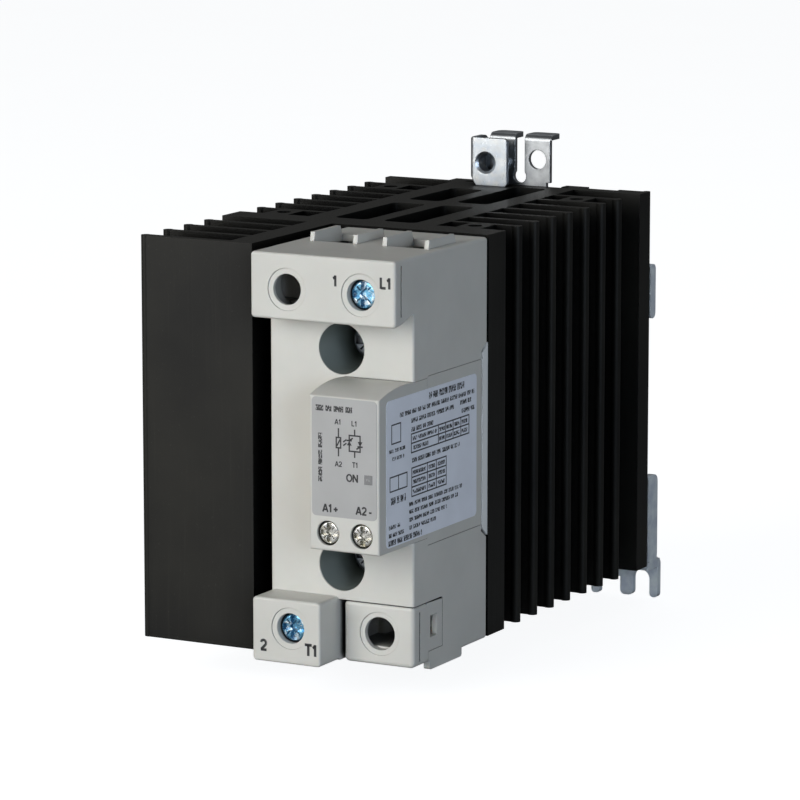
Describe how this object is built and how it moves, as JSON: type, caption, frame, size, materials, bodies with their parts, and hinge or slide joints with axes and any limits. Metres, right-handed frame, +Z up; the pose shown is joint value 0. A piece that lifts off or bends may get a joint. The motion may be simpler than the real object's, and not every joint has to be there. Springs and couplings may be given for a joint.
{
  "type": "solid state relay",
  "caption": "Solid state relay in a stepped grey housing on a finned black heatsink, with a rail clip, panel feet, screw terminals and an earth tab.",
  "frame": {"origin": "middle of the lower bracket's rear mounting face, at the foot plate's height", "axes": "+X to the right seen from the front, +Y from the front of the relay to the panel behind it, +Z up"},
  "size_m": [0.0701, 0.1471, 0.1149],
  "materials": {
    "anodised_black": "black anodised, satin",
    "zinc_sheet": "zinc plated sheet",
    "zinc_bright": "bright zinc plate",
    "zinc_fastener": "zinc plated",
    "spring_wire": "drawn spring wire",
    "housing_plastic": "light grey moulded, fine texture",
    "frame_plastic": "light moulded",
    "label_front": "printed film",
    "label_side": "printed film",
    "clear_plastic": "clear moulded",
    "module_plastic": "dark moulded",
    "pad_foil": "soft foil",
    "ceramic_white": "alumina",
    "silicon": "polished",
    "copper": "rolled copper",
    "board": "solder mask",
    "package_black": "moulded",
    "varistor_blue": "dipped",
    "led_lens": "clear lens",
    "tinned": "tinned",
    "clamp_steel": "zinc plated",
    "screw_zinc": "blue zinc plate"
  },
  "bodies": {
    "relay": {"heatsink": "anodised_black", "centre_strip": "zinc_sheet", "rail_hook": "zinc_sheet", "lower_bracket": "zinc_sheet", "earth_terminal": "zinc_bright", "earth_rivet": "zinc_bright", "strip_screws": "zinc_fastener", "guide_rivets": "zinc_fastener", "bracket_screws": "zinc_fastener", "module_screws": "zinc_fastener", "module_washers": "zinc_fastener", "slider_springs": "spring_wire", "housing_cover": "housing_plastic", "terminal_cap": "housing_plastic", "control_cover": "housing_plastic", "base_frame": "frame_plastic", "front_label": "label_front", "side_label": "label_side", "light_pipe": "clear_plastic", "power_module": "module_plastic", "thermal_pad": "pad_foil", "ceramic_substrate": "ceramic_white", "thyristor_chips": "silicon", "line_busbar": "copper", "load_busbar": "copper", "circuit_board": "board", "optocoupler": "package_black", "driver_components": "package_black", "varistor": "varistor_blue", "status_led": "led_lens", "gate_pins": "tinned", "control_contacts": "tinned"},
    "slider": {"rail_slider": "zinc_sheet"},
    "line_screw_body": {"line_screw": "screw_zinc"},
    "line_clamp": {"line_cage": "clamp_steel"},
    "load_screw_body": {"load_screw": "screw_zinc"},
    "load_clamp": {"load_cage": "clamp_steel"},
    "positive_screw": {"control_screw_positive": "screw_zinc"},
    "positive_clamp": {"control_cage_positive": "clamp_steel"},
    "negative_screw": {"control_screw_negative": "screw_zinc"},
    "negative_clamp": {"control_cage_negative": "clamp_steel"}
  },
  "joints": [
    {"name": "slider_release", "type": "slide", "parent": "relay", "child": "slider", "axis": [0, 0, -1], "range_m": [0, 0.005], "stiffness_N_per_m": 2500, "springref_m": -0.003, "deforming": ["slider_springs"]},
    {"name": "line_clamp_lift", "type": "slide", "parent": "relay", "child": "line_clamp", "axis": [0, -1, 0], "range_m": [0, 0.007]},
    {"name": "line_screw_turn", "type": "hinge", "parent": "relay", "child": "line_screw_body", "pos_m": [0.0263, -0.1379, 0.08675], "axis": [0, 1, 0], "range_deg": [0, 3602]},
    {"name": "load_clamp_lift", "type": "slide", "parent": "relay", "child": "load_clamp", "axis": [0, -1, 0], "range_m": [0, 0.007]},
    {"name": "load_screw_turn", "type": "hinge", "parent": "relay", "child": "load_screw_body", "pos_m": [0.00825, -0.1379, 0.0099], "axis": [0, 1, 0], "range_deg": [0, 3602]},
    {"name": "positive_clamp_lift", "type": "slide", "parent": "relay", "child": "positive_clamp", "axis": [0, -1, 0], "range_m": [0, 0.0015]},
    {"name": "positive_screw_turn", "type": "hinge", "parent": "relay", "child": "positive_screw", "pos_m": [0.0222, -0.1465, 0.0345], "axis": [0, 1, 0], "range_deg": [0, 1082]},
    {"name": "negative_clamp_lift", "type": "slide", "parent": "relay", "child": "negative_clamp", "axis": [0, -1, 0], "range_m": [0, 0.0015]},
    {"name": "negative_screw_turn", "type": "hinge", "parent": "relay", "child": "negative_screw", "pos_m": [0.0306, -0.1465, 0.0345], "axis": [0, 1, 0], "range_deg": [0, 1082]}
  ],
  "couplings": [
    {"joint": "line_screw_turn", "follows": "line_clamp_lift", "rad_per_m": 8976},
    {"joint": "load_screw_turn", "follows": "load_clamp_lift", "rad_per_m": 8976},
    {"joint": "positive_screw_turn", "follows": "positive_clamp_lift", "rad_per_m": 12566},
    {"joint": "negative_screw_turn", "follows": "negative_clamp_lift", "rad_per_m": 12566}
  ]
}
